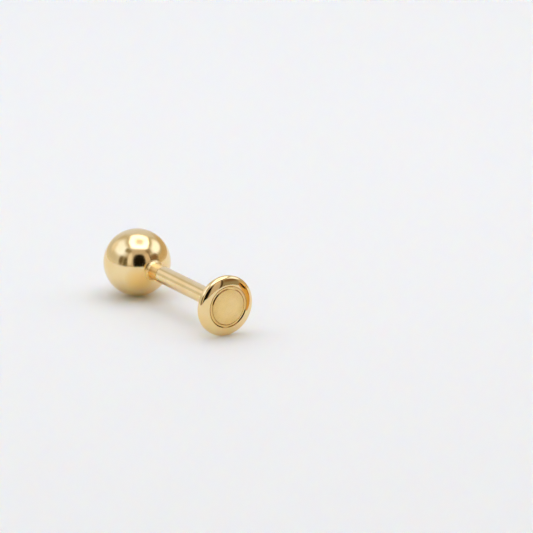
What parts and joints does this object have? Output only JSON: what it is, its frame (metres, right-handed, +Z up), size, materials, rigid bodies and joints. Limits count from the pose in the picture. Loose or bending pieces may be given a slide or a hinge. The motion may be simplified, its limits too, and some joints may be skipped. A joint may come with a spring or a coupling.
{
  "type": "ball stud earring",
  "caption": "Polished gold stud earring lying on its side: a plain ball that unscrews from a tube post, and a small domed disc with an engraved ring.",
  "frame": {"origin": "on the surface that the stud lies on, below the middle of its length", "axes": "+Z up from the surface; the post runs along Y, with the disc towards -Y and the ball towards +Y; the axis leans down towards the disc by 1.35 degrees"},
  "size_m": [0.004, 0.0122, 0.004],
  "materials": {
    "ball_gold": "high polish 14 karat yellow gold",
    "disc_gold": "high polish 14 karat yellow gold"
  },
  "bodies": {
    "back": {"disc_back": "disc_gold"},
    "front": {"ball_front": "ball_gold"}
  },
  "joints": [
    {"name": "ball_unscrew", "type": "slide", "parent": "back", "child": "front", "axis": [0, 0.9997, 0.0236], "range_m": [0, 0.003]}
  ]
}
